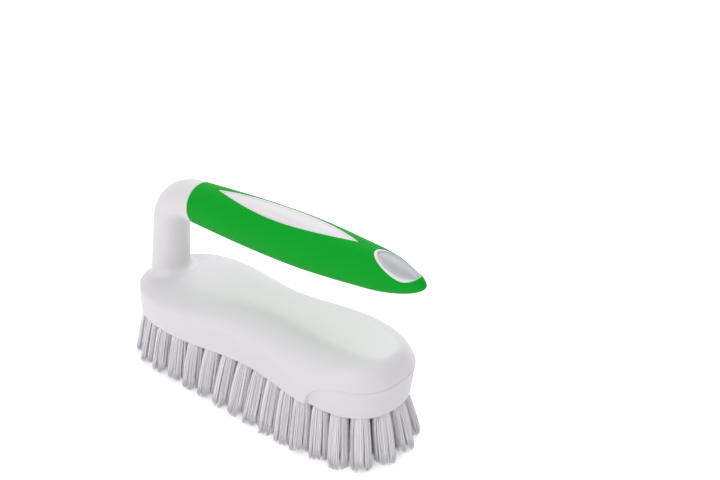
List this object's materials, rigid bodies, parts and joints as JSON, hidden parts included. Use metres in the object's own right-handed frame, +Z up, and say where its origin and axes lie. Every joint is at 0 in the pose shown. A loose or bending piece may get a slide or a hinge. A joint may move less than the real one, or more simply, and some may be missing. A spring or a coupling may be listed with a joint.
{
  "type": "iron-handled scrub brush",
  "caption": "Hand scrub brush with a waisted domed block, splayed bristle tufts underneath and an iron-style handle with a soft grip sleeve reaching forward from a rear post.",
  "frame": {"origin": "on the plane of the bristle tips, under the middle of the brush's length and width", "axes": "+X along the brush towards the free nose of the handle, +Y across it, +Z up from the bristle tips to the handle"},
  "size_m": [0.1658, 0.0584, 0.1015],
  "materials": {
    "white_plastic": "satin moulded polypropylene",
    "green_soft_grip": "soft matte overmoulding",
    "white_bristle": "straight drawn filaments",
    "staple_wire": "plain drawn flat wire"
  },
  "bodies": {
    "root": {"body_moulding": "white_plastic", "grip_sleeve": "green_soft_grip", "bristles_outer_rear": "white_bristle", "bristles_outer_left": "white_bristle", "bristles_outer_right": "white_bristle", "bristles_outer_front": "white_bristle", "bristles_inner_left": "white_bristle", "bristles_inner_right": "white_bristle", "bristles_centre_row": "white_bristle", "anchor_staples": "staple_wire"}
  },
  "joints": []
}
